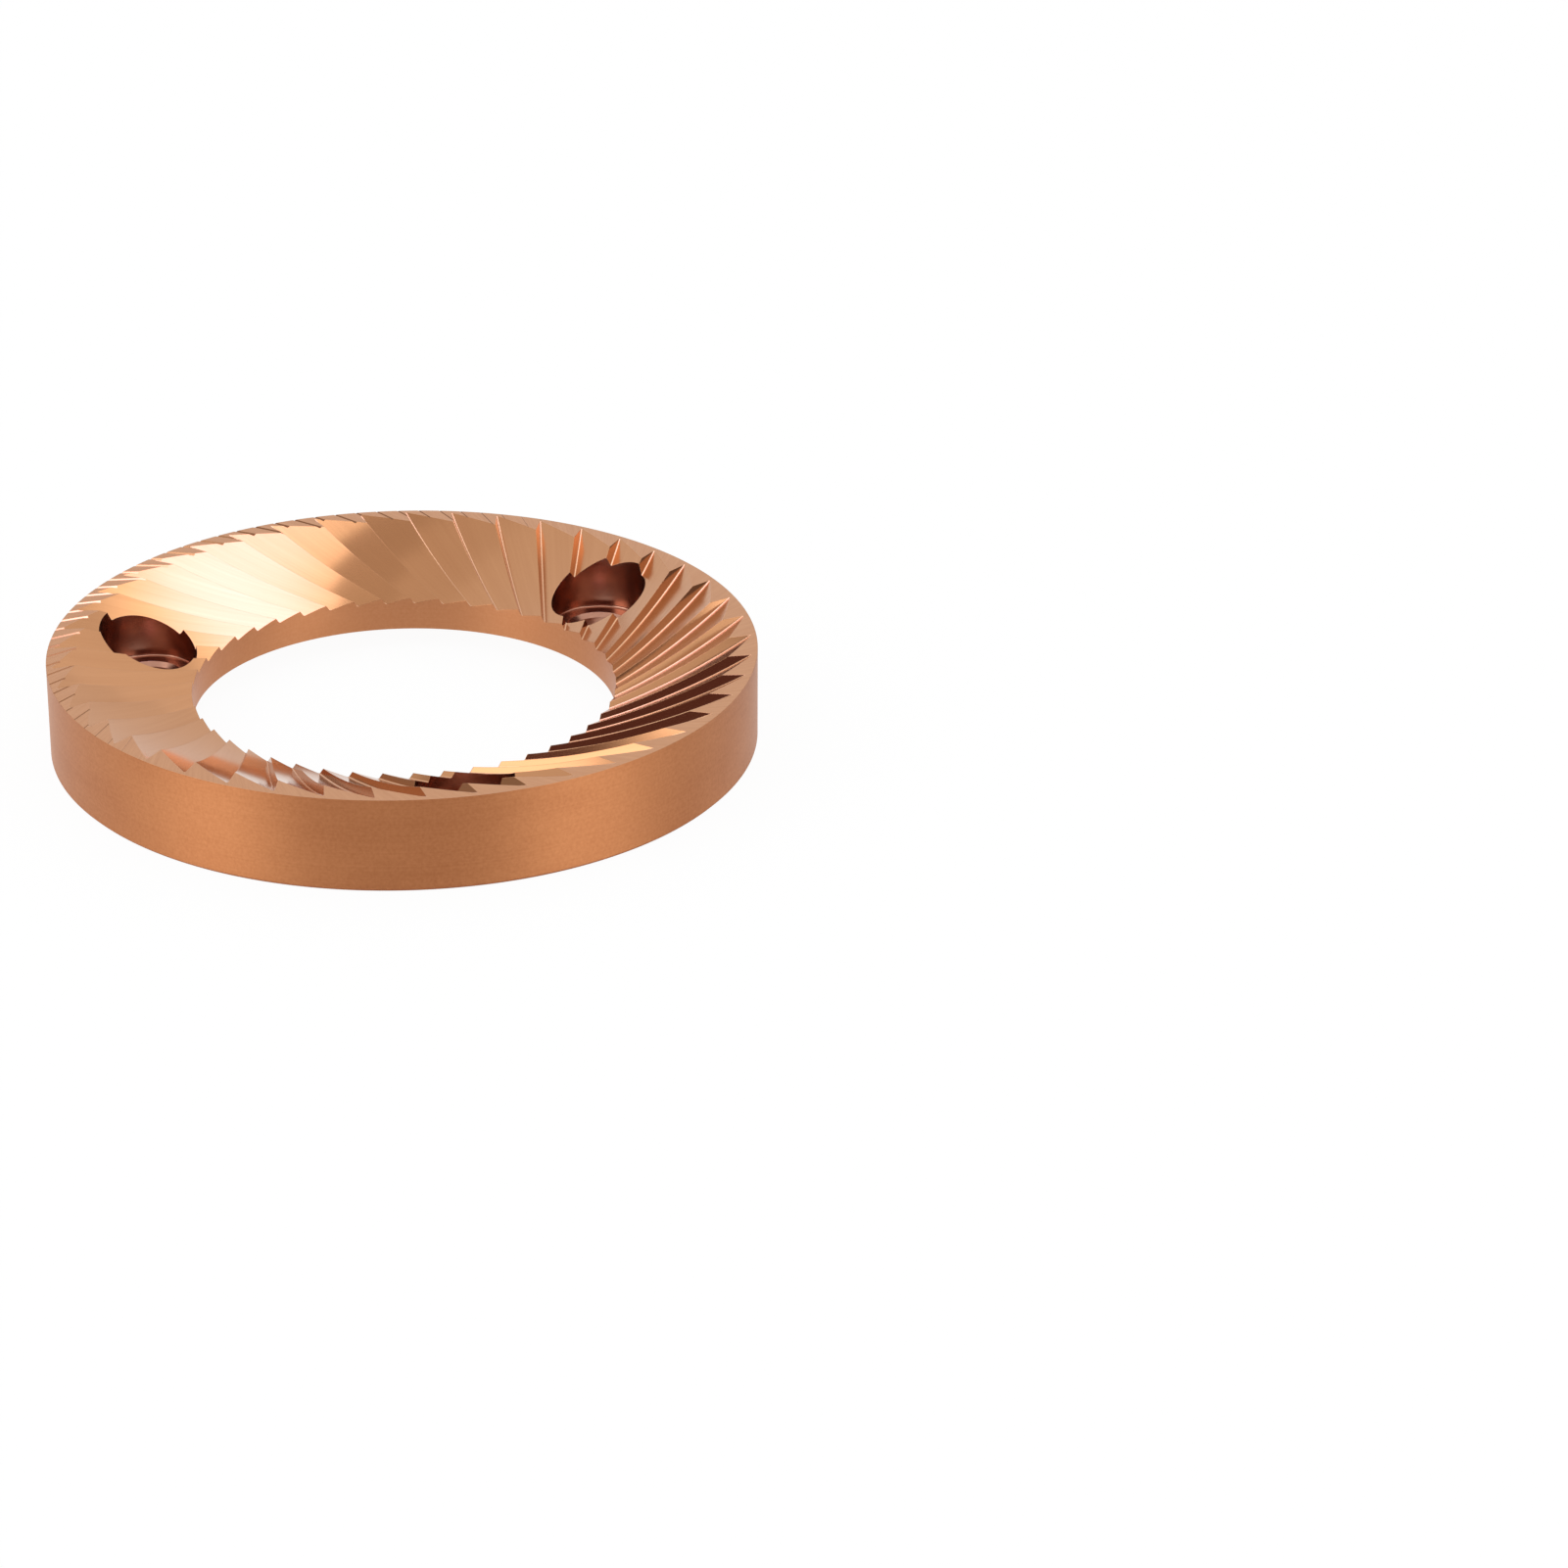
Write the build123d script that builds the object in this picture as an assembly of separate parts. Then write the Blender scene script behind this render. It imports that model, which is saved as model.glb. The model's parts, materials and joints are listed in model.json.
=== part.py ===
# Flat burr of a coffee grinder: one steel ring, turned, ground with cutting teeth and drilled.
# Millimetres. The back face lies on z = 0, the axis is +Z, and the teeth look up.
import math
import os

from build123d import *

# Turned ring
OUTER_D = 64.0
BORE_D = 38.3
HEIGHT = 8.7
RIM_BACK_CHAMFER = 0.3

# Shallow cone turned into the back around the bore, which leaves a short round wall above it
RELIEF_DEPTH = 2.05
RELIEF_ANGLE = 22.0

# Dish turned into the toothed face, inside a flat land, as stock for the teeth
LAND_WIDTH = 3.0
DISH_STOCK = 0.7

# Main teeth: gullets ground by a bevelled wheel on straight lines that pass beside the axis
TOOTH_COUNT = 45
TOOTH_PHASE = -0.58
TIP_INSET = 0.42
GULLET_OFFSET = 13.0
GULLET_BORE_Z = 4.6
GULLET_ROOT_BEVEL = 0.18
FLANK_ANGLE = 25.5
FACE_ANGLE = 62.0
WHEEL_D = 120.0
WHEEL_RIM = 3.0

# Fine teeth: short shallow grooves across the land, with the same slopes as the main teeth
FINE_COUNT = 100
FINE_PHASE = 1.97
FINE_OFFSET = 17.9
FINE_DEPTH = 0.1
FINE_REACH = 3.1

# Screw holes with head recesses, sunk from the toothed face
SCREW_COUNT = 3
SCREW_CIRCLE_D = 49.0
SCREW_HOLE_D = 5.3
SCREW_HEAD_D = 8.8
SCREW_SEAT_Z = 3.15
SCREW_SEAT_CHAMFER = 0.4
SCREW_CORNER_BEVEL = 0.2

# Run of a cutter past the surface that it breaks through
CLEAR = 1.0

OUTER_R = OUTER_D / 2
BORE_R = BORE_D / 2
TIP_R = OUTER_R - TIP_INSET
WHEEL_R = WHEEL_D / 2


def turned_blank():
    """Ring turned as one section, with its land, dish, back relief and broken rim."""
    relief_r = BORE_R + RELIEF_DEPTH / math.tan(math.radians(RELIEF_ANGLE))
    section = Polyline(
        (relief_r, 0),
        (OUTER_R - RIM_BACK_CHAMFER, 0),
        (OUTER_R, RIM_BACK_CHAMFER),
        (OUTER_R, HEIGHT),
        (OUTER_R - LAND_WIDTH, HEIGHT),
        (BORE_R, GULLET_BORE_Z + DISH_STOCK),
        (BORE_R, RELIEF_DEPTH),
        close=True,
    )
    return revolve(Plane.XZ * make_face(section), Axis.Z)


def reach(radius, offset):
    """Distance along a straight groove, from its point nearest the axis, out to a radius."""
    return math.sqrt(radius**2 - offset**2)


def aimed(cutter, angle, radius, offset):
    """Turn a cutter that runs along +X, on the line y = -offset, to meet a radius at an angle."""
    return Rot(Z=angle + 90 - math.degrees(math.acos(offset / radius))) * cutter


def gullet_cutter():
    """Sector of the grinding wheel: a gentle flank, a steep cutting face and a blunted root."""
    tip = reach(TIP_R, GULLET_OFFSET)
    bore = reach(BORE_R, GULLET_OFFSET)
    fall = HEIGHT - GULLET_BORE_Z
    chord = math.hypot(tip - bore, fall)
    lift = math.sqrt(WHEEL_R**2 - chord**2 / 4)
    hub_x = (tip + bore) / 2 - lift * fall / chord
    hub_z = HEIGHT - fall / 2 + lift * (tip - bore) / chord

    floor = hub_z - WHEEL_R
    flank = math.pi * OUTER_D / TOOTH_COUNT
    face = WHEEL_RIM / math.tan(math.radians(FACE_ANGLE))
    section = make_face(
        Polyline(
            (-GULLET_OFFSET, floor),
            (-GULLET_OFFSET - flank, floor + flank * math.tan(math.radians(FLANK_ANGLE))),
            (-GULLET_OFFSET - flank, floor + WHEEL_RIM),
            (-GULLET_OFFSET + face, floor + WHEEL_RIM),
            close=True,
        )
    )
    section = chamfer(section.vertices().sort_by(Axis.Y)[0], GULLET_ROOT_BEVEL)

    wheel_axis = Axis((hub_x, 0, hub_z), (0, -1, 0))
    start = math.degrees(math.asin((bore / 2 - hub_x) / WHEEL_R))
    end = math.degrees(math.asin((OUTER_R + CLEAR - hub_x) / (WHEEL_R - WHEEL_RIM)))
    profile = (Plane.YZ.offset(hub_x) * section).rotate(wheel_axis, start)
    return revolve(profile, wheel_axis, end - start)


def fine_cutter():
    """Short bar that lies across the land, with a gentle flank and a steep cutting face."""
    start = reach(OUTER_R - FINE_REACH, FINE_OFFSET)
    length = reach(OUTER_R + CLEAR, FINE_OFFSET) - start
    rise = 2 * FINE_DEPTH
    flank = rise / math.tan(math.radians(FLANK_ANGLE))
    face = rise / math.tan(math.radians(FACE_ANGLE))
    section = Polyline(
        (-FINE_OFFSET, HEIGHT - FINE_DEPTH),
        (-FINE_OFFSET + face, HEIGHT - FINE_DEPTH + rise),
        (-FINE_OFFSET - flank, HEIGHT - FINE_DEPTH + rise),
        close=True,
    )
    return extrude(Plane.YZ.offset(start) * make_face(section), length)


def screw_cutter():
    """Stepped drill on +X: a through hole, a broken edge at the screw's seat and a head recess."""
    hole_r = SCREW_HOLE_D / 2
    head_r = SCREW_HEAD_D / 2
    section = Polyline(
        (0, -CLEAR),
        (hole_r, -CLEAR),
        (hole_r, SCREW_SEAT_Z - SCREW_SEAT_CHAMFER),
        (hole_r + SCREW_SEAT_CHAMFER, SCREW_SEAT_Z),
        (head_r - SCREW_CORNER_BEVEL, SCREW_SEAT_Z),
        (head_r, SCREW_SEAT_Z + SCREW_CORNER_BEVEL),
        (head_r, HEIGHT + CLEAR),
        (0, HEIGHT + CLEAR),
        close=True,
    )
    drill = revolve(Plane.XZ * make_face(section), Axis.Z)
    return Pos(X=SCREW_CIRCLE_D / 2) * drill


def with_main_teeth(ring):
    """Grind the gullets in a few passes, so that the cuts of one pass lie well apart."""
    passes = 5
    cutter = gullet_cutter()
    for first in range(passes):
        cuts = []
        for tooth in range(first, TOOTH_COUNT, passes):
            angle = TOOTH_PHASE + 360 / TOOTH_COUNT * tooth
            cuts.append(aimed(cutter, angle, TIP_R, GULLET_OFFSET))
        ring = ring - cuts
    return ring


def with_fine_teeth(ring):
    """Cut the fine grooves into the land."""
    cutter = fine_cutter()
    cuts = []
    for tooth in range(FINE_COUNT):
        angle = FINE_PHASE + 360 / FINE_COUNT * tooth
        cuts.append(aimed(cutter, angle, OUTER_R, FINE_OFFSET))
    return ring - cuts


def with_screw_holes(ring):
    """Drill the screw holes, the first one on +X."""
    drill = screw_cutter()
    return ring - [Rot(Z=360 / SCREW_COUNT * hole) * drill for hole in range(SCREW_COUNT)]


burr = with_screw_holes(with_fine_teeth(with_main_teeth(turned_blank())))
burr.label = "burr"

os.makedirs("parts", exist_ok=True)
export_step(burr, "parts/burr.step")
print("burr:", len(burr.solids()), "solid,", round(burr.volume, 1), "mm3")
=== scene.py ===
import json
import math

import bmesh
import bpy
import numpy as np
from bpy.props import FloatProperty, FloatVectorProperty, IntProperty, PointerProperty
from mathutils import Matrix, Vector


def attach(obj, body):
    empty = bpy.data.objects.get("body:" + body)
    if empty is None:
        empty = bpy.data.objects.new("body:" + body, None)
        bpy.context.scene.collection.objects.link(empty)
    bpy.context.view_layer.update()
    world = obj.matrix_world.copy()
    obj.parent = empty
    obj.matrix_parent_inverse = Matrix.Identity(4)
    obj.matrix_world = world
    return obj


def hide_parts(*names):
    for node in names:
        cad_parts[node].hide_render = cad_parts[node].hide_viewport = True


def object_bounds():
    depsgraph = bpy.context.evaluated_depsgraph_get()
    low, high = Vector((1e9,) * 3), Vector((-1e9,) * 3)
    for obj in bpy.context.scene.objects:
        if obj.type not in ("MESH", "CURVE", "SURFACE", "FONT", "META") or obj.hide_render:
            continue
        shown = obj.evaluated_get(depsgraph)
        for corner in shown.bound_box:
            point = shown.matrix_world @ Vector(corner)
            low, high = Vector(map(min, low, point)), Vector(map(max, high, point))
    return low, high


bl_info = {
    "name": "Coffee Grinder Burr",
    "version": (1, 0, 0),
    "blender": (4, 5, 0),
    "location": "3D View > Sidebar > Burr",
    "description": "Dresses a flat grinder burr in its coated, turned and ground finishes",
    "category": "Object",
}

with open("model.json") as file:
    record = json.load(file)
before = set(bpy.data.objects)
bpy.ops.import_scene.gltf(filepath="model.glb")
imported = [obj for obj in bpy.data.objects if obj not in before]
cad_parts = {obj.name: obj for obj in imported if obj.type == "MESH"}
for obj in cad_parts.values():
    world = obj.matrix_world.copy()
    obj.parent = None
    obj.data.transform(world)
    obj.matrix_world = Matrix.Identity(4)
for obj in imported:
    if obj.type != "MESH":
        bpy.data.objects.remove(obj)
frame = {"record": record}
CAD_LOW, CAD_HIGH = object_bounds()
MM = 0.001
MOUNTS = {mount["name"]: mount["dims"] for mount in frame["record"]["mounts"]}

# Surfaces of the burr, in the order of its material slots
TURNED, BORE, BACK, LAND, FLANK, FACE, ROOT, GROOVE, RECESS, SEAT = range(10)

# How far a cutter runs past the surface that it breaks through
CLEAR = 1.0 * MM

# Steps around a turned solid, stations along the wheel and points around a rounded corner
RING_STEPS = 360
DRILL_STEPS = 120
WHEEL_STATIONS = 40
ROOT_POINTS = 9
CORNER_POINTS = 6

# Distance within which two points of a cutter are one
MERGE_DISTANCE = 0.0001 * MM

# Heights of the fine and the coarse relief of a worked surface
FINE_RELIEF = 0.001 * MM
COARSE_RELIEF = 0.004 * MM

# How much rougher a dark streak is than a light one, and the rays that find a rounded edge
STREAK_ROUGHNESS = 0.06
EDGE_RAYS = 4

# Studio floor: its width, how far it lies below the burr so that no faces share a plane, and its whites
FLOOR_WIDTH = 8.0
FLOOR_DROP = 0.02 * MM
FLOOR_WHITE = 0.93
FLOOR_GLOW = 0.95

# Camera: width of its sensor in millimetres, and the nearest and farthest that it sees
SENSOR_WIDTH = 36.0
NEAREST = 0.01
FARTHEST = 20.0


class BurrForm(bpy.types.PropertyGroup):
    """Sizes of the burr and of the tools that shape it."""

    outer_diameter: FloatProperty(
        name="Outer diameter",
        description="Diameter of the ring",
        default=CAD_HIGH.x - CAD_LOW.x,
        unit="LENGTH",
    )
    bore_diameter: FloatProperty(
        name="Bore diameter",
        description="Diameter of the round bore",
        default=2 * MM * MOUNTS["centre_bore"]["r_mm"],
        unit="LENGTH",
    )
    height: FloatProperty(
        name="Height",
        description="Height of the land above the back face",
        default=CAD_HIGH.z - CAD_LOW.z,
        unit="LENGTH",
    )
    back_chamfer: FloatProperty(
        name="Back chamfer",
        description="Broken edge between the back face and the outer wall",
        default=0.3 * MM,
        unit="LENGTH",
    )
    relief_depth: FloatProperty(
        name="Relief depth",
        description="Depth of the shallow cone in the back, at the bore",
        default=2.05 * MM,
        unit="LENGTH",
    )
    relief_angle: FloatProperty(
        name="Relief angle",
        description="Slope of the shallow cone in the back",
        default=math.radians(22.0),
        subtype="ANGLE",
    )
    land_width: FloatProperty(
        name="Land width",
        description="Width of the flat land around the dish",
        default=3.0 * MM,
        unit="LENGTH",
    )
    dish_stock: FloatProperty(
        name="Dish stock",
        description="Stock that the dish leaves above the roots of the teeth at the bore",
        default=0.7 * MM,
        unit="LENGTH",
    )
    tooth_count: IntProperty(
        name="Main teeth",
        description="Number of ground gullets around the ring",
        default=45,
    )
    tooth_phase: FloatProperty(
        name="Tooth phase",
        description="Angle at which the first gullet reaches the tip circle",
        default=math.radians(-0.58),
        subtype="ANGLE",
    )
    tip_inset: FloatProperty(
        name="Tip inset",
        description="Land that is left outside the tips of the gullets",
        default=0.42 * MM,
        unit="LENGTH",
    )
    gullet_offset: FloatProperty(
        name="Gullet offset",
        description="Distance at which the line of a gullet passes the axis",
        default=13.0 * MM,
        unit="LENGTH",
    )
    gullet_bore_height: FloatProperty(
        name="Gullet height at the bore",
        description="Height of a gullet's root where it opens into the bore",
        default=4.6 * MM,
        unit="LENGTH",
    )
    root_radius: FloatProperty(
        name="Root radius",
        description="Radius of the rounded root of a gullet",
        default=0.12 * MM,
        unit="LENGTH",
    )
    flank_angle: FloatProperty(
        name="Flank angle",
        description="Slope of the gentle side of a tooth",
        default=math.radians(25.5),
        subtype="ANGLE",
    )
    flank_crown: FloatProperty(
        name="Flank crown",
        description="How far grinding and coating tip the finish of a flank outwards along its gullet",
        default=math.radians(2.0),
        subtype="ANGLE",
    )
    face_angle: FloatProperty(
        name="Cutting face angle",
        description="Slope of the steep side of a tooth",
        default=math.radians(62.0),
        subtype="ANGLE",
    )
    wheel_diameter: FloatProperty(
        name="Wheel diameter",
        description="Diameter of the wheel that ground the gullets",
        default=120.0 * MM,
        unit="LENGTH",
    )
    wheel_rim: FloatProperty(
        name="Wheel rim",
        description="Height of the bevelled rim of the wheel",
        default=3.0 * MM,
        unit="LENGTH",
    )
    groove_count: IntProperty(
        name="Fine teeth",
        description="Number of fine grooves across the land",
        default=100,
    )
    groove_phase: FloatProperty(
        name="Fine tooth phase",
        description="Angle at which the first fine groove reaches the rim",
        default=math.radians(1.97),
        subtype="ANGLE",
    )
    groove_offset: FloatProperty(
        name="Fine groove offset",
        description="Distance at which the line of a fine groove passes the axis",
        default=17.9 * MM,
        unit="LENGTH",
    )
    groove_depth: FloatProperty(
        name="Fine groove depth",
        description="Depth of the deepest fine groove below the land",
        default=0.14 * MM,
        unit="LENGTH",
    )
    groove_runout: FloatProperty(
        name="Fine groove runout",
        description="How much higher the fine cutter ran on one side of the ring than on the other",
        default=0.34 * MM,
        unit="LENGTH",
    )
    groove_deep_side: FloatProperty(
        name="Deep side",
        description="Angle at which the fine grooves are deepest",
        default=math.radians(102.0),
        subtype="ANGLE",
    )
    groove_reach: FloatProperty(
        name="Fine groove reach",
        description="How far in from the rim a fine groove starts",
        default=3.1 * MM,
        unit="LENGTH",
    )
    screw_count: IntProperty(
        name="Screw holes",
        description="Number of screw holes",
        default=MOUNTS["screw_holes"]["count"],
    )
    screw_circle: FloatProperty(
        name="Screw circle",
        description="Diameter of the circle of screw holes",
        default=MM * MOUNTS["screw_holes"]["pcd_mm"],
        unit="LENGTH",
    )
    hole_diameter: FloatProperty(
        name="Screw hole",
        description="Diameter of a screw hole",
        default=2 * MM * MOUNTS["screw_holes"]["hole_r_mm"],
        unit="LENGTH",
    )
    head_diameter: FloatProperty(
        name="Head recess",
        description="Diameter of the recess around a screw head",
        default=8.8 * MM,
        unit="LENGTH",
    )
    seat_height: FloatProperty(
        name="Screw seat",
        description="Height of the screw's seat above the back face",
        default=3.15 * MM,
        unit="LENGTH",
    )
    seat_chamfer: FloatProperty(
        name="Seat chamfer",
        description="Broken edge between the screw's seat and its hole",
        default=0.4 * MM,
        unit="LENGTH",
    )
    corner_radius: FloatProperty(
        name="Recess corner",
        description="Radius between the wall of the head recess and the screw's seat",
        default=0.2 * MM,
        unit="LENGTH",
    )


class BurrFinish(bpy.types.PropertyGroup):
    """Colours of the coating, the shade painted into the fine grooves, and how edges change it."""

    ground: FloatVectorProperty(
        name="Ground coating",
        description="Colour of the coating on the smooth ground surfaces",
        default=(0.575, 0.288, 0.142),
        subtype="COLOR",
        min=0.0,
        max=1.0,
    )
    ground_streak: FloatVectorProperty(
        name="Ground streaks",
        description="Colour of the darker streaks that grinding leaves under the coating",
        default=(0.49, 0.228, 0.107),
        subtype="COLOR",
        min=0.0,
        max=1.0,
    )
    turned: FloatVectorProperty(
        name="Turned coating",
        description="Colour of the coating on the turned outer wall",
        default=(0.625, 0.265, 0.111),
        subtype="COLOR",
        min=0.0,
        max=1.0,
    )
    turned_streak: FloatVectorProperty(
        name="Turned streaks",
        description="Colour of the darker rings that turning leaves on the outer wall and in the bore",
        default=(0.52, 0.2, 0.081),
        subtype="COLOR",
        min=0.0,
        max=1.0,
    )
    drilled: FloatVectorProperty(
        name="Drilled coating",
        description="Colour of the coating inside the screw holes",
        default=(0.52, 0.27, 0.19),
        subtype="COLOR",
        min=0.0,
        max=1.0,
    )
    drilled_streak: FloatVectorProperty(
        name="Drilled streaks",
        description="Colour of the darker rings that drilling leaves under the coating",
        default=(0.42, 0.2, 0.135),
        subtype="COLOR",
        min=0.0,
        max=1.0,
    )
    bored: FloatVectorProperty(
        name="Bored coating",
        description="Colour of the coating on the wall of the bore",
        default=(0.66, 0.315, 0.155),
        subtype="COLOR",
        min=0.0,
        max=1.0,
    )
    # Partly painted highlight: the rounded roots catch real highlights, and this lighter colour paints them
    # brighter
    root_highlight: FloatVectorProperty(
        name="Root coating",
        description="Colour of the bright coating along the roots of the gullets",
        default=(0.72, 0.44, 0.29),
        subtype="COLOR",
        min=0.0,
        max=1.0,
    )
    # Painted shade: the fine grooves take this dark colour everywhere but one stretch of the rim
    shaded_groove: FloatVectorProperty(
        name="Groove residue",
        description="Colour of the fine grooves where they hold dark residue",
        default=(0.25, 0.11, 0.05),
        subtype="COLOR",
        min=0.0,
        max=1.0,
    )
    # Stretch of the rim where the fine grooves are left without painted shade, and how far off the shade is
    # full
    unshaded_side: FloatProperty(
        name="Clean side",
        description="Angle at the middle of the stretch where the fine grooves are clean",
        default=math.radians(105.0),
        subtype="ANGLE",
    )
    unshaded_reach: FloatProperty(
        name="Clean reach",
        description="How far to each side of that angle the fine grooves are wholly clean",
        default=math.radians(18.2),
        subtype="ANGLE",
    )
    dark_reach: FloatProperty(
        name="Dark reach",
        description="How far from that angle the fine grooves are wholly dark",
        default=math.radians(29.5),
        subtype="ANGLE",
    )
    edge_radius: FloatProperty(
        name="Edge radius",
        description="Radius to which tumbling and coating have rounded the edges",
        default=0.05 * MM,
        unit="LENGTH",
    )


class BurrStudio(bpy.types.PropertyGroup):
    """Place of the camera in the plain studio."""

    turn: FloatProperty(
        name="Turn",
        description="Angle from the camera's right-hand side round to the first screw hole",
        default=math.radians(46.1),
        subtype="ANGLE",
    )
    elevation: FloatProperty(
        name="Elevation",
        description="Angle at which the camera looks down",
        default=math.radians(25.525),
        subtype="ANGLE",
    )
    roll: FloatProperty(
        name="Roll",
        description="Lean of the camera about its own axis",
        default=math.radians(0.277),
        subtype="ANGLE",
    )
    distance: FloatProperty(
        name="Distance",
        description="Distance of the burr from the camera, along its axis",
        default=482.0 * MM,
        unit="LENGTH",
    )
    aside: FloatProperty(
        name="Aside",
        description="How far to the left of the picture's middle the burr stands",
        default=34.4 * MM,
        unit="LENGTH",
    )
    above: FloatProperty(
        name="Above",
        description="How far above the picture's middle the burr stands",
        default=4.8 * MM,
        unit="LENGTH",
    )
    lens: FloatProperty(
        name="Lens",
        description="Focal length, in millimetres on a sensor 36 mm wide",
        default=121.7,
    )


class Wire:
    """A socket of a node tree. Arithmetic on it adds Math nodes."""

    def __init__(self, tree, socket=None):
        self.tree = tree
        self.socket = socket

    def node(self, kind, inputs=None, output=0, stops=None, **settings):
        """Add a node: its settings first, then the values or links of its sockets."""
        made = self.tree.nodes.new(kind)
        for name, value in settings.items():
            setattr(made, name, value)
        if stops:
            ramp = made.color_ramp.elements
            while len(ramp) < len(stops):
                ramp.new(1.0)
            for element, (place, shade) in zip(ramp, stops):
                element.position = place
                element.color = (*shade, 1.0)
        for name, value in (inputs or {}).items():
            for single in value if isinstance(value, list) else [value]:
                if isinstance(single, Wire):
                    self.tree.links.new(single.socket, made.inputs[name])
                else:
                    made.inputs[name].default_value = single
        return Wire(self.tree, made.outputs[output] if made.outputs else None)

    def math(self, operation, first, second=0.0):
        """Add a Math node."""
        return self.node("ShaderNodeMath", {0: first, 1: second}, operation=operation)

    def __add__(self, other):
        return self.math("ADD", self, other)

    __radd__ = __add__

    def __mul__(self, other):
        return self.math("MULTIPLY", self, other)

    __rmul__ = __mul__

    def __sub__(self, other):
        return self.math("SUBTRACT", self, other)

    def __rsub__(self, other):
        return self.math("SUBTRACT", other, self)

    def __truediv__(self, other):
        return self.math("DIVIDE", self, other)

    def __rtruediv__(self, other):
        return self.math("DIVIDE", other, self)


def swept(name, stations, slots, around=False):
    """Solid through a row of closed outlines, with a material slot for each strip of faces along it."""
    work = bmesh.new()
    rows = [[work.verts.new(point) for point in outline] for outline in stations]
    if around:
        rows.append(rows[0])
    else:
        work.faces.new(rows[0])
        work.faces.new(rows[-1])
    for near, far in zip(rows, rows[1:]):
        for place, slot in enumerate(slots):
            after = (place + 1) % len(slots)
            strip = work.faces.new((near[place], near[after], far[after], far[place]))
            strip.material_index = slot
    bmesh.ops.remove_doubles(work, verts=work.verts, dist=MERGE_DISTANCE)
    bmesh.ops.recalc_face_normals(work, faces=work.faces)
    mesh = bpy.data.meshes.new(name)
    work.to_mesh(mesh)
    work.free()
    return mesh


def turned(name, profile, slots, steps, centre=0.0):
    """Solid turned from a profile of radii and heights about an upright axis on +X."""
    stations = []
    for angle in np.linspace(0, math.tau, steps, endpoint=False):
        c, s = math.cos(angle), math.sin(angle)
        stations.append([(centre + radius * c, radius * s, height) for radius, height in profile])
    return swept(name, stations, slots, around=True)


def ring_blank(form):
    """Ring turned with its land, dish, back relief and broken rim."""
    outer, bore = form.outer_diameter / 2, form.bore_diameter / 2
    profile = (
        (bore + form.relief_depth / math.tan(form.relief_angle), 0),
        (outer - form.back_chamfer, 0),
        (outer, form.back_chamfer),
        (outer, form.height),
        (outer - form.land_width, form.height),
        (bore, form.gullet_bore_height + form.dish_stock),
        (bore, form.relief_depth),
    )
    slots = (BACK, TURNED, TURNED, LAND, LAND, BORE, BACK)
    return turned("ring_blank", profile, slots, RING_STEPS)


def screw_drill(form):
    """Stepped drill on +X: a through hole, a broken edge at the screw's seat and a head recess."""
    hole, head, seat = form.hole_diameter / 2, form.head_diameter / 2, form.seat_height
    top = form.height + CLEAR
    profile = [
        (0, -CLEAR),
        (hole, -CLEAR),
        (hole, seat - form.seat_chamfer),
        (hole + form.seat_chamfer, seat),
    ]
    slots = [RECESS, RECESS, SEAT, SEAT]
    for turn in np.linspace(-math.pi / 2, 0, CORNER_POINTS):
        inset = form.corner_radius * (1 - math.cos(turn))
        rise = form.corner_radius * (1 + math.sin(turn))
        profile.append((head - inset, seat + rise))
        slots.append(SEAT)
    slots[-1] = RECESS
    profile += [(head, top), (0, top)]
    slots += [RECESS, RECESS]
    return turned("screw_drill", profile, slots, DRILL_STEPS, form.screw_circle / 2)


def reach(radius, offset):
    """Distance along a straight groove, from its point nearest the axis, out to a radius."""
    return math.sqrt(radius**2 - offset**2)


def aimed(offset, radius):
    """Turn that brings a groove along +X, which passes the axis at an offset, to +X at a radius."""
    return math.pi / 2 - math.acos(offset / radius)


def groove_bar(form):
    """Short bar that lies along +X across the land, with a gentle flank and a steep cutting face."""
    outer = form.outer_diameter / 2
    rise = 2 * form.groove_depth
    floor = form.height - form.groove_depth
    section = (
        (0, 0),
        (rise / math.tan(form.face_angle), rise),
        (-rise / math.tan(form.flank_angle), rise),
    )
    stations = []
    for radius in (outer - form.groove_reach, outer + CLEAR):
        x = reach(radius, form.groove_offset)
        stations.append([(x, across - form.groove_offset, floor + above) for across, above in section])
    return swept("groove_bar", stations, (GROOVE, GROOVE, GROOVE))


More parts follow.
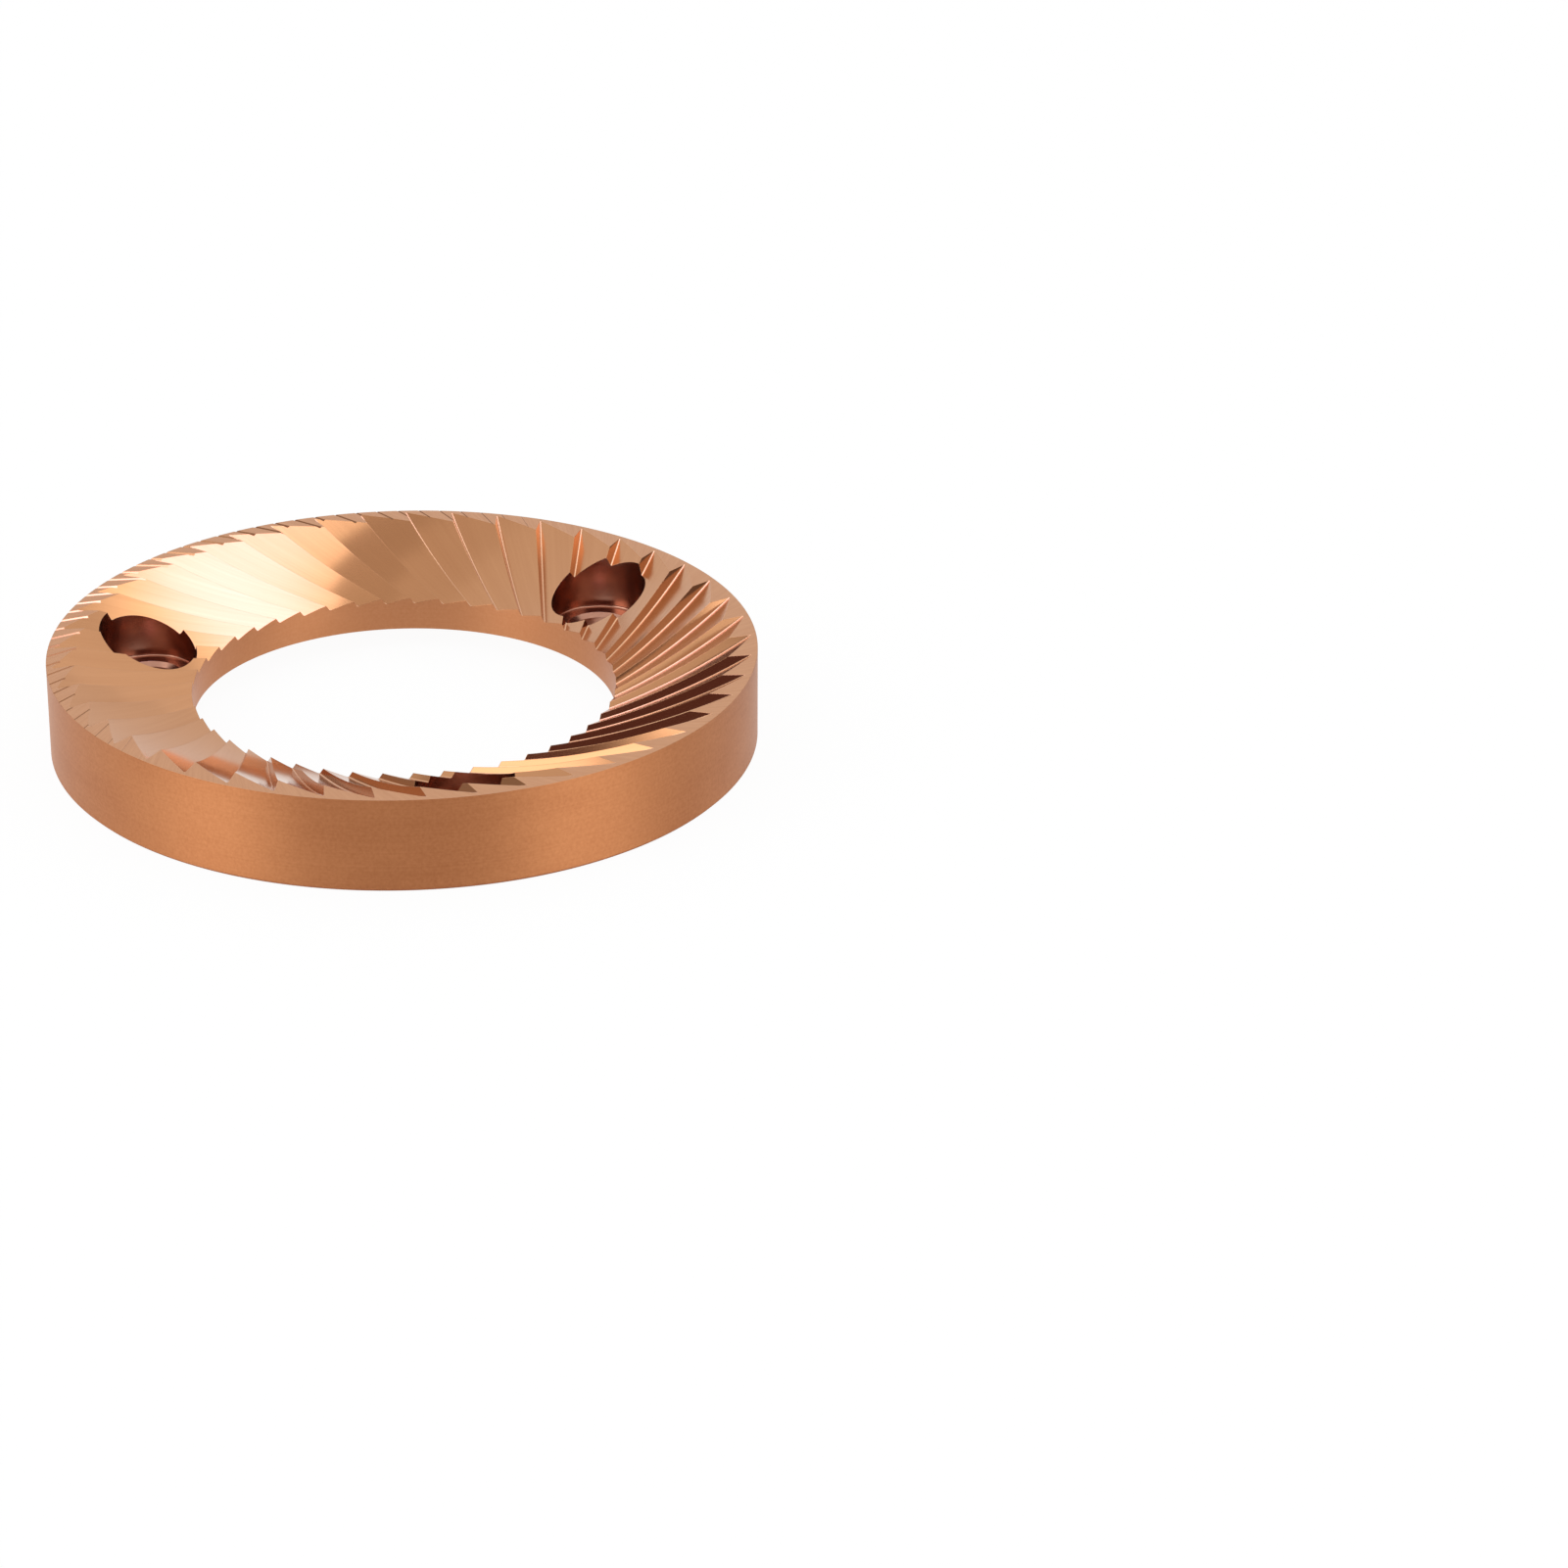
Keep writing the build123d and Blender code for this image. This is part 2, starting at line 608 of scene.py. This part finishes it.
class GulletWheel:
    """Bevelled grinding wheel that cuts a gullet along +X, on a line that passes beside the axis."""

    def __init__(self, form):
        self.form = form
        self.radius = form.wheel_diameter / 2
        tip_radius = form.outer_diameter / 2 - form.tip_inset
        tip = reach(tip_radius, form.gullet_offset)
        self.bore = reach(form.bore_diameter / 2, form.gullet_offset)
        fall = form.height - form.gullet_bore_height
        chord = math.hypot(tip - self.bore, fall)
        lift = math.sqrt(self.radius**2 - chord**2 / 4)
        self.hub_x = (tip + self.bore) / 2 - lift * fall / chord
        self.hub_z = form.height - fall / 2 + lift * (tip - self.bore) / chord
        self.first_turn = form.tooth_phase + aimed(form.gullet_offset, tip_radius)
        self.pitch = math.tau / form.tooth_count
        flank, radius = form.flank_angle, form.root_radius
        leg = radius * math.tan((flank + form.face_angle) / 2)
        self.root_across = radius * math.sin(flank) - leg * math.cos(flank)
        self.root_above = radius * math.cos(flank) + leg * math.sin(flank)

    def cutter(self):
        """The sector of the wheel that meets the ring."""
        form = self.form
        wide = math.pi * form.outer_diameter / form.tooth_count
        section = [
            (form.wheel_rim / math.tan(form.face_angle), form.wheel_rim),
            (-wide, form.wheel_rim),
            (-wide, wide * math.tan(form.flank_angle)),
        ]
        slots = [FLANK, FLANK, FLANK]
        for lean in np.linspace(form.flank_angle, -form.face_angle, ROOT_POINTS):
            across = self.root_across - form.root_radius * math.sin(lean)
            above = self.root_above - form.root_radius * math.cos(lean)
            section.append((across, above))
            slots.append(ROOT)
        slots[-1] = FACE
        far = form.outer_diameter / 2 + CLEAR - self.hub_x
        begin = math.asin((self.bore / 2 - self.hub_x) / self.radius)
        end = math.asin(far / (self.radius - form.wheel_rim))
        stations = []
        for angle in np.linspace(begin, end, WHEEL_STATIONS):
            outline = []
            for across, above in section:
                x = self.hub_x + (self.radius - above) * math.sin(angle)
                z = self.hub_z - (self.radius - above) * math.cos(angle)
                outline.append((x, across - form.gullet_offset, z))
            stations.append(outline)
        return swept("gullet_wheel", stations, slots)

    def tooth(self, centres, zone):
        """Number of the gullet that each facet was ground with."""
        radius = np.linalg.norm(centres[:, :2], axis=1)
        turn = np.arctan2(centres[:, 1], centres[:, 0]) + np.arcsin(self.form.gullet_offset / radius)
        number = (turn - self.first_turn) / self.pitch
        number[zone == FLANK] = np.ceil(number[zone == FLANK])
        number[zone == FACE] = np.floor(number[zone == FACE])
        return np.round(number)

    def place(self, points, tooth):
        """Where points lie in their gullets: along it, across and above its root, and the way to the hub."""
        turn = self.first_turn + self.pitch * tooth
        c, s = np.cos(turn), np.sin(turn)
        along = c * points[:, 0] + s * points[:, 1]
        across = c * points[:, 1] - s * points[:, 0] + self.form.gullet_offset
        to_hub = np.stack((self.hub_x - along, self.hub_z - points[:, 2]), 1)
        reached = np.linalg.norm(to_hub, axis=1)
        return along, across, self.radius - reached, to_hub / reached[:, None], (c, s)

    def normals(self, points, tooth, zone):
        """Normals of the ground surfaces."""
        along, across, above, up, (c, s) = self.place(points, tooth)
        root = np.arctan2(self.root_across - across, self.root_above - above)
        lean = np.where(zone == FLANK, self.form.flank_angle, -self.form.face_angle)
        crown = np.where(zone == FLANK, math.tan(self.form.flank_crown), 0.0)
        up = np.stack((up[:, 0] + crown * up[:, 1], up[:, 1] - crown * up[:, 0]), 1)
        lean = np.where(zone == ROOT, root, lean)
        x = up[:, 0] * np.cos(lean)
        y = np.sin(lean)
        return np.stack((c * x - s * y, s * x + c * y, up[:, 1] * np.cos(lean)), 1)


def around_axis(start, cutter, count, first, runout=0.0, deep_side=0.0):
    """Copies of a cutter, evenly spaced around the axis, which run higher away from the deep side."""
    shape = start.node("GeometryNodeObjectInfo", {"Object": cutter}, output="Geometry")
    turn = start.node("GeometryNodeInputIndex") * (math.tau / count) + first
    lift = (1 - start.math("COSINE", turn - deep_side)) * runout * 0.5
    place = start.node("ShaderNodeCombineXYZ", {"Z": lift})
    points = start.node("GeometryNodePoints", {"Count": count, "Position": place})
    spin = start.node("ShaderNodeCombineXYZ", {"Z": turn})
    return start.node(
        "GeometryNodeInstanceOnPoints",
        {"Points": points, "Instance": shape, "Rotation": spin},
    )


def cutting_tree():
    """Geometry nodes that cut the teeth, the fine grooves and the screw holes into a ring."""
    tree = bpy.data.node_groups.new("cut_ring", "GeometryNodeTree")
    sockets = {
        "Ring": "NodeSocketGeometry",
        "Gullet wheel": "NodeSocketObject",
        "Main teeth": "NodeSocketInt",
        "First tooth": "NodeSocketFloat",
        "Groove bar": "NodeSocketObject",
        "Fine teeth": "NodeSocketInt",
        "First groove": "NodeSocketFloat",
        "Groove runout": "NodeSocketFloat",
        "Deep side": "NodeSocketFloat",
        "Screw drill": "NodeSocketObject",
        "Screw holes": "NodeSocketInt",
    }
    for name, kind in sockets.items():
        tree.interface.new_socket(name, in_out="INPUT", socket_type=kind)
    tree.interface.new_socket("Burr", in_out="OUTPUT", socket_type="NodeSocketGeometry")
    start = Wire(tree)
    given = start.node("NodeGroupInput").socket.node
    asked = {name: Wire(tree, given.outputs[name]) for name in sockets}
    cuts = [
        around_axis(start, asked["Gullet wheel"], asked["Main teeth"], asked["First tooth"]),
        around_axis(
            start,
            asked["Groove bar"],
            asked["Fine teeth"],
            asked["First groove"],
            asked["Groove runout"],
            asked["Deep side"],
        ),
        around_axis(start, asked["Screw drill"], asked["Screw holes"], 0.0),
    ]
    cut = start.node(
        "GeometryNodeMeshBoolean",
        {"Mesh 1": asked["Ring"], "Mesh 2": cuts},
        operation="DIFFERENCE",
        solver="MANIFOLD",
    )
    start.node("NodeGroupOutput", {"Burr": cut})
    return tree


def cut_ring(form, materials, collection):
    """Mesh of the ring with everything cut into it by the node tree."""
    wheel = GulletWheel(form)
    tools = {
        "Ring": ring_blank(form),
        "Gullet wheel": wheel.cutter(),
        "Groove bar": groove_bar(form),
        "Screw drill": screw_drill(form),
    }
    made = {}
    for name, mesh in tools.items():
        for material in materials:
            mesh.materials.append(material)
        made[name] = bpy.data.objects.new(mesh.name, mesh)
        collection.objects.link(made[name])
    groove_lead = aimed(form.groove_offset, form.outer_diameter / 2)
    values = {
        "Gullet wheel": made["Gullet wheel"],
        "Main teeth": form.tooth_count,
        "First tooth": wheel.first_turn,
        "Groove bar": made["Groove bar"],
        "Fine teeth": form.groove_count,
        "First groove": form.groove_phase + groove_lead,
        "Groove runout": form.groove_runout,
        "Deep side": form.groove_deep_side + groove_lead,
        "Screw drill": made["Screw drill"],
        "Screw holes": form.screw_count,
    }
    ring = made["Ring"]
    modifier = ring.modifiers.new("cut_ring", "NODES")
    modifier.node_group = cutting_tree()
    for item in modifier.node_group.interface.items_tree:
        if item.name in values:
            modifier[item.identifier] = values[item.name]
    graph = bpy.context.evaluated_depsgraph_get()
    mesh = bpy.data.meshes.new_from_object(ring.evaluated_get(graph))
    for piece in made.values():
        used = piece.data
        bpy.data.objects.remove(piece)
        bpy.data.meshes.remove(used)
    return mesh


def read(items, field, width, kind=float):
    """One field of a mesh's items as an array."""
    values = np.zeros(len(items) * width, kind)
    items.foreach_get(field, values)
    return values.reshape(-1, width) if width > 1 else values


def smooth_surfaces(mesh, form):
    """Give every corner the normal of its true surface, and its place along its gullet."""
    wheel = GulletWheel(form)
    centres = read(mesh.polygons, "center", 3)
    normals = read(mesh.polygons, "normal", 3)
    zone = read(mesh.polygons, "material_index", 1, np.int32)
    vertex = read(mesh.loops, "vertex_index", 1, np.int32)
    corners = read(mesh.vertices, "co", 3)[vertex]
    of_face = np.repeat(np.arange(len(zone)), read(mesh.polygons, "loop_total", 1, np.int32))
    corner_zone = zone[of_face]
    true = normals[of_face]

    # Turned and drilled surfaces: the facet's normal, swung about the axis that it was turned on
    pitch = math.tau / form.screw_count
    hole = np.round(np.arctan2(centres[:, 1], centres[:, 0]) / pitch) * pitch
    axis = np.stack((np.cos(hole), np.sin(hole)), 1) * form.screw_circle / 2
    axis[~np.isin(zone, (RECESS, SEAT))] = 0
    face_out = centres[:, :2] - axis
    face_out /= np.linalg.norm(face_out, axis=1)[:, None]
    out = corners[:, :2] - axis[of_face]
    out /= np.linalg.norm(out, axis=1)[:, None]
    outward = np.sum(normals[:, :2] * face_out, 1)[of_face]
    lathe = np.isin(corner_zone, (TURNED, BORE, BACK, RECESS, SEAT))
    true[lathe, :2] = out[lathe] * outward[lathe, None]

    # Gullets: the normal of the surface that the wheel left
    tooth = wheel.tooth(centres, zone)[of_face]
    ground = np.isin(corner_zone, (FLANK, FACE, ROOT))
    true[ground] = wheel.normals(corners, tooth, corner_zone)[ground]
    true /= np.linalg.norm(true, axis=1)[:, None]

    along, across = wheel.place(corners, tooth)[:2]
    grind = np.stack((along, across, tooth * MM), 1)
    attribute = mesh.attributes.new("grind", "FLOAT_VECTOR", "CORNER")
    attribute.data.foreach_set("vector", grind.astype(np.float32).ravel())
    mesh.polygons.foreach_set("use_smooth", np.ones(len(zone), bool))
    mesh.normals_split_custom_set(true.tolist())
    mesh.update()


def coated(name, colours, pattern, edge, roughness, relief, contrast=1.0, anisotropic=0.0, rotation=0.0):
    """Coated steel: a pattern gives the dark streaks, gloss and relief follow it, and edges are rounded."""
    light, dark = colours
    material = bpy.data.materials.new(name)
    material.use_nodes = True
    tree = material.node_tree
    shader = tree.nodes["Principled BSDF"]
    start = Wire(tree)
    streak = (pattern(start) - 0.5) * contrast + 0.5
    colour = start.node(
        "ShaderNodeMix",
        {0: streak, 6: (*light, 1.0), 7: (*dark, 1.0)},
        output=2,
        data_type="RGBA",
    )
    gloss = streak * STREAK_ROUGHNESS + roughness
    rounded = start.node("ShaderNodeBevel", {"Radius": edge}, samples=EDGE_RAYS)
    worked = start.node("ShaderNodeBump", {"Height": streak, "Distance": relief, "Normal": rounded})
    tree.links.new(colour.socket, shader.inputs["Base Color"])
    tree.links.new(gloss.socket, shader.inputs["Roughness"])
    tree.links.new(worked.socket, shader.inputs["Normal"])
    shader.inputs["Metallic"].default_value = 1.0
    shader.inputs["Anisotropic"].default_value = anisotropic
    shader.inputs["Anisotropic Rotation"].default_value = rotation
    return material


def noise(wire, place, scale, detail=2.0):
    """Soft noise from 0 to 1, with a number of spots per metre along each axis."""
    stretched = wire.node("ShaderNodeMapping", {"Vector": place, "Scale": scale})
    return wire.node("ShaderNodeTexNoise", {"Vector": stretched, "Scale": 1.0, "Detail": detail})


def grinding_lines(start):
    """Fine lines that a grinding wheel leaves along a gullet."""
    place = start.node("ShaderNodeAttribute", output="Vector", attribute_name="grind")
    fine = noise(start, place, (60.0, 4000.0, 9000.0))
    broad = noise(start, place, (40.0, 700.0, 9000.0))
    return fine * 0.5 + broad * 0.5


def turning_lines(start):
    """Fine rings that a lathe leaves around the axis, under the grain of the coating."""
    place = start.node("ShaderNodeTexCoord", output="Object")
    rings = noise(start, place, (60.0, 60.0, 6000.0))
    grain = noise(start, place, (3500.0, 3500.0, 3500.0), 3.0)
    broad = noise(start, place, (120.0, 120.0, 250.0))
    return rings * 0.2 + grain * 0.5 + broad * 0.3


def drilling_lines(start):
    """Rings that a drill leaves around a hole, with patches where it chattered."""
    place = start.node("ShaderNodeTexCoord", output="Object")
    rings = noise(start, place, (150.0, 150.0, 4500.0))
    chatter = noise(start, place, (900.0, 900.0, 1800.0), 4.0)
    return rings * 0.6 + chatter * 0.4


def across_axis(start):
    """Place on the burr as seen along its axis: x, y and the radius."""
    place = start.node("ShaderNodeTexCoord", output="Object")
    x = start.node("ShaderNodeSeparateXYZ", {"Vector": place}, output="X")
    y = start.node("ShaderNodeSeparateXYZ", {"Vector": place}, output="Y")
    return x, y, start.math("SQRT", x * x + y * y)


def land_grain(start):
    """Fine scratches that run across the land the way that the fine grooves do."""
    form = bpy.context.scene.burr_form
    x, y, radius = across_axis(start)
    turn = start.math("ARCTAN2", y, x) + start.math("ARCSINE", form.groove_offset / radius)
    around = turn * (form.outer_diameter / 2)
    scratch = start.node("ShaderNodeCombineXYZ", {"X": radius, "Y": around})
    fine = noise(start, scratch, (300.0, 6000.0, 1.0), 3.0)
    broad = noise(start, scratch, (250.0, 1800.0, 1.0))
    return fine * 0.6 + broad * 0.4


def groove_shade_mask(start):
    """Painted shade: 0 in the fine grooves of one stretch of the rim, rising to 1, wholly dark, in the
    others.
    """
    finish = bpy.context.scene.burr_finish
    x, y, radius = across_axis(start)
    toward = (x * math.cos(finish.unshaded_side) + y * math.sin(finish.unshaded_side)) / radius
    limits = {"From Min": math.cos(finish.unshaded_reach), "From Max": math.cos(finish.dark_reach)}
    return start.node("ShaderNodeMapRange", {"Value": toward, **limits})


def lapped_grain(start):
    """Even grain of a lapped or tumbled surface."""
    place = start.node("ShaderNodeTexCoord", output="Object")
    return noise(start, place, (2500.0, 2500.0, 2500.0), 4.0)


class BURR_OT_body(bpy.types.Operator):
    """Make the burr's visible body, with a finish for each of its surfaces"""

    bl_idname = "burr.body"
    bl_label = "Burr body"

    def execute(self, context):
        form = context.scene.burr_form
        finish = context.scene.burr_finish
        edge = finish.edge_radius
        ground = (finish.ground, finish.ground_streak)
        lathe = (finish.turned, finish.turned_streak)
        drilled = (finish.drilled, finish.drilled_streak)
        bored = (finish.bored, finish.turned_streak)
        shaded_groove = (finish.ground, finish.shaded_groove)
        root_highlight = (finish.root_highlight, finish.ground)
        fine, coarse = FINE_RELIEF, COARSE_RELIEF
        materials = (
            coated(
                "turned_coating", lathe, turning_lines, edge,
                roughness=0.45, relief=fine, contrast=2.4, anisotropic=0.8, rotation=0.25,
            ),
            coated(
                "bore_coating", bored, turning_lines, edge,
                roughness=0.42, relief=fine, anisotropic=0.7, rotation=0.25,
            ),
            coated("ground_back", ground, lapped_grain, edge, roughness=0.32, relief=fine),
            coated("ground_land", ground, land_grain, edge, roughness=0.28, relief=2 * coarse, contrast=2.5),
            coated(
                "ground_flank", ground, grinding_lines, edge,
                roughness=0.12, relief=fine, contrast=1.3, anisotropic=0.8, rotation=0.094,
            ),
            coated("cutting_face", ground, grinding_lines, edge, roughness=0.1, relief=fine),
            # Gullet roots: partly painted highlight, a lighter colour that brightens what the rounded roots
            # catch
            coated("gullet_root", root_highlight, grinding_lines, edge, roughness=0.2, relief=fine, contrast=0.5),
            # Fine grooves: painted shade, dark everywhere but one stretch of the rim
            coated("fine_groove", shaded_groove, groove_shade_mask, edge, roughness=0.2, relief=fine),
            coated("drilled_recess", drilled, drilling_lines, edge, roughness=0.2, relief=coarse),
            coated("screw_seat", drilled, lapped_grain, edge, roughness=0.18, relief=fine),
        )
        mesh = cut_ring(form, materials, context.collection)
        mesh.name = "coated_burr"
        smooth_surfaces(mesh, form)
        body = bpy.data.objects.new("coated_burr", mesh)
        context.collection.objects.link(body)
        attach(body, "root")
        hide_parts("burr")
        return {"FINISHED"}


def sheet(name, width, height, level=0.0):
    """Flat rectangle around the upright axis."""
    x, y = width / 2, height / 2
    mesh = bpy.data.meshes.new(name)
    mesh.from_pydata([(-x, -y, level), (x, -y, level), (x, y, level), (-x, y, level)], [], [(0, 1, 2, 3)])
    return mesh


def bare_material(name):
    """Material with no nodes yet, and a wire to start them from."""
    material = bpy.data.materials.new(name)
    material.use_nodes = True
    material.node_tree.nodes.clear()
    return material, Wire(material.node_tree)


def hung(name, data, studio, place):
    """Lamp or card that faces the burr. Its azimuth counts round from the camera's right-hand side."""
    azimuth, elevation, distance = place
    turn = math.radians(azimuth) - studio.turn
    tilt = math.radians(elevation)
    flat = distance * math.cos(tilt)
    made = bpy.data.objects.new(name, data)
    made.location = (flat * math.cos(turn), flat * math.sin(turn), distance * math.sin(tilt))
    made.rotation_mode = "QUATERNION"
    made.rotation_quaternion = made.location.to_track_quat("Z", "Y")
    made.visible_camera = False
    bpy.context.collection.objects.link(made)
    return made


def softbox(name, studio, place, width, height, radiance):
    """Rectangular lamp, as bright as a white card times its radiance."""
    lamp = bpy.data.lights.new(name, "AREA")
    lamp.shape = "RECTANGLE"
    lamp.size = width
    lamp.size_y = height
    lamp.energy = radiance * math.pi * width * height
    hung(name, lamp, studio, place)


def card(name, studio, place, width, height, shade=None, strength=1.0, glow=None):
    """Card that only reflections show: of one shade, or with a glow of several from its middle outwards."""
    material, start = bare_material(name)
    if glow:
        spot = start.node("ShaderNodeTexCoord", output="Object")
        far = start.node("ShaderNodeVectorMath", {0: spot}, output="Value", operation="LENGTH")
        colour = start.node("ShaderNodeValToRGB", {"Fac": far / (min(width, height) / 2)}, stops=glow)
    else:
        colour = (*shade, 1.0)
    light = start.node("ShaderNodeEmission", {"Color": colour, "Strength": strength})
    start.node("ShaderNodeOutputMaterial", {"Surface": light})
    mesh = sheet(name, width, height)
    mesh.materials.append(material)
    made = hung(name, mesh, studio, place)
    made.visible_diffuse = False
    made.visible_shadow = False


def floor_material(form):
    """Matt white floor that keeps a faint shadow, and mirrors dark where the burr covers or shades it."""
    material, start = bare_material("white_floor")
    place = start.node("ShaderNodeTexCoord", output="Object")
    radius = start.node("ShaderNodeVectorMath", {0: place}, output="Value", operation="LENGTH")
    inner = form.bore_diameter / 2 + form.relief_depth / math.tan(form.relief_angle)
    outer = form.outer_diameter / 2 + form.back_chamfer
    covered = start.math("GREATER_THAN", radius, inner) * start.math("LESS_THAN", radius, outer)
    camera = start.node("ShaderNodeLightPath", output="Is Camera Ray")
    mirrored = start.node("ShaderNodeLightPath", output="Is Glossy Ray")
    through = start.node("ShaderNodeLightPath", output="Is Transmission Ray")
    seen = camera + (mirrored + through) * (1 - covered)
    matt = start.node("ShaderNodeBsdfDiffuse", {"Color": (FLOOR_WHITE, FLOOR_WHITE, FLOOR_WHITE, 1.0)})
    white = start.node("ShaderNodeEmission", {"Color": (1.0, 1.0, 1.0, 1.0)})
    mixed = start.node("ShaderNodeMixShader", {0: seen * FLOOR_GLOW, 1: matt, 2: white})
    start.node("ShaderNodeOutputMaterial", {"Surface": mixed})
    return material


def lay_floor(form):
    """Wide floor just below the burr."""
    mesh = sheet("floor", FLOOR_WIDTH, FLOOR_WIDTH, -FLOOR_DROP)
    mesh.materials.append(floor_material(form))
    floor = bpy.data.objects.new("floor", mesh)
    bpy.context.collection.objects.link(floor)


def place_camera(form, studio):
    """Camera that looks down on the burr, which stands to the left of the picture's middle."""
    tilt, roll = studio.elevation, studio.roll
    look = Matrix(
        (
            (1, 0, 0),
            (0, -math.sin(tilt), -math.cos(tilt)),
            (0, math.cos(tilt), -math.sin(tilt)),
        )
    )
    lean = Matrix.Rotation(roll, 3, "Z")
    view = lean @ look @ Matrix.Rotation(studio.turn, 3, "Z")
    burr = Vector((-studio.aside, -studio.above, studio.distance))
    axes = Matrix((view[0], -view[1], -view[2])).transposed()
    rim_edge = Vector((0, 0, form.back_chamfer))
    lens = bpy.data.cameras.new("camera")
    lens.lens = studio.lens
    lens.sensor_width = SENSOR_WIDTH
    lens.clip_start = NEAREST
    lens.clip_end = FARTHEST
    camera = bpy.data.objects.new("camera", lens)
    camera.matrix_world = Matrix.Translation(rim_edge - view.transposed() @ burr) @ axes.to_4x4()
    bpy.context.collection.objects.link(camera)
    bpy.context.scene.camera = camera


class BURR_OT_studio(bpy.types.Operator):
    """Make the floor, lamps, cards and camera"""

    bl_idname = "burr.studio"
    bl_label = "Studio"

    def execute(self, context):
        form = context.scene.burr_form
        studio = context.scene.burr_studio
        lay_floor(form)

        world = bpy.data.worlds.new("white_room")
        world.use_nodes = True
        world.node_tree.nodes["Background"].inputs["Color"].default_value = (1.0, 1.0, 1.0, 1.0)
        context.scene.world = world

        # Lamps and cards: azimuth and elevation in degrees, distance, then width, height and light
        softbox("left_softbox", studio, (213, 24, 1.2), 0.62, 1.2, radiance=1.65)
        softbox("right_softbox", studio, (329, 10, 1.2), 0.64, 0.5, radiance=2.0)
        lamp_glow = (
            (0.0, (0.59, 0.58, 1.0)),
            (0.3, (0.57, 0.56, 0.9)),
            (0.62, (0.36, 0.365, 0.345)),
            (1.0, (0.147, 0.147, 0.147)),
        )
        card("top_card", studio, (76, 76, 1.0), 0.9, 0.9, strength=6.8, glow=lamp_glow)
        card("camera_card", studio, (270, 25, 0.7), 0.94, 0.9, (0.15, 0.075, 0.08))
        card("gap_card", studio, (142, 65, 0.95), 0.26, 0.18, (0.66, 0.6, 0.55))
        card("shade_card", studio, (136, 55, 1.1), 0.5, 0.3, (0.87, 0.83, 0.8))
        card("right_card", studio, (22, 8, 0.12), 0.16, 0.08, (0.2, 0.15, 0.14))
        card("back_card", studio, (48, 42, 1.5), 1.1, 0.5, (1.12, 1.12, 1.12))
        card("left_card", studio, (152, 5, 1.3), 1.2, 0.5, (0.4, 0.36, 0.34))
        place_camera(form, studio)
        context.scene.view_settings.view_transform = "Standard"
        return {"FINISHED"}


class BURR_PT_panel(bpy.types.Panel):
    """Sizes, colours and builders of the burr"""

    bl_idname = "BURR_PT_panel"
    bl_label = "Coffee grinder burr"
    bl_space_type = "VIEW_3D"
    bl_region_type = "UI"
    bl_category = "Burr"

    def draw(self, context):
        scene = context.scene
        for group in (scene.burr_form, scene.burr_finish, scene.burr_studio):
            for name in group.__annotations__:
                self.layout.prop(group, name)
        self.layout.operator(BURR_OT_body.bl_idname)
        self.layout.operator(BURR_OT_studio.bl_idname)


CLASSES = (BurrForm, BurrFinish, BurrStudio, BURR_OT_body, BURR_OT_studio, BURR_PT_panel)


def register():
    for made in CLASSES:
        bpy.utils.register_class(made)
    bpy.types.Scene.burr_form = PointerProperty(type=BurrForm)
    bpy.types.Scene.burr_finish = PointerProperty(type=BurrFinish)
    bpy.types.Scene.burr_studio = PointerProperty(type=BurrStudio)


def unregister():
    del bpy.types.Scene.burr_studio
    del bpy.types.Scene.burr_finish
    del bpy.types.Scene.burr_form
    for made in reversed(CLASSES):
        bpy.utils.unregister_class(made)


def main():
    register()
    bpy.ops.burr.body()
    bpy.ops.burr.studio()


if __name__ == "__main__":
    main()
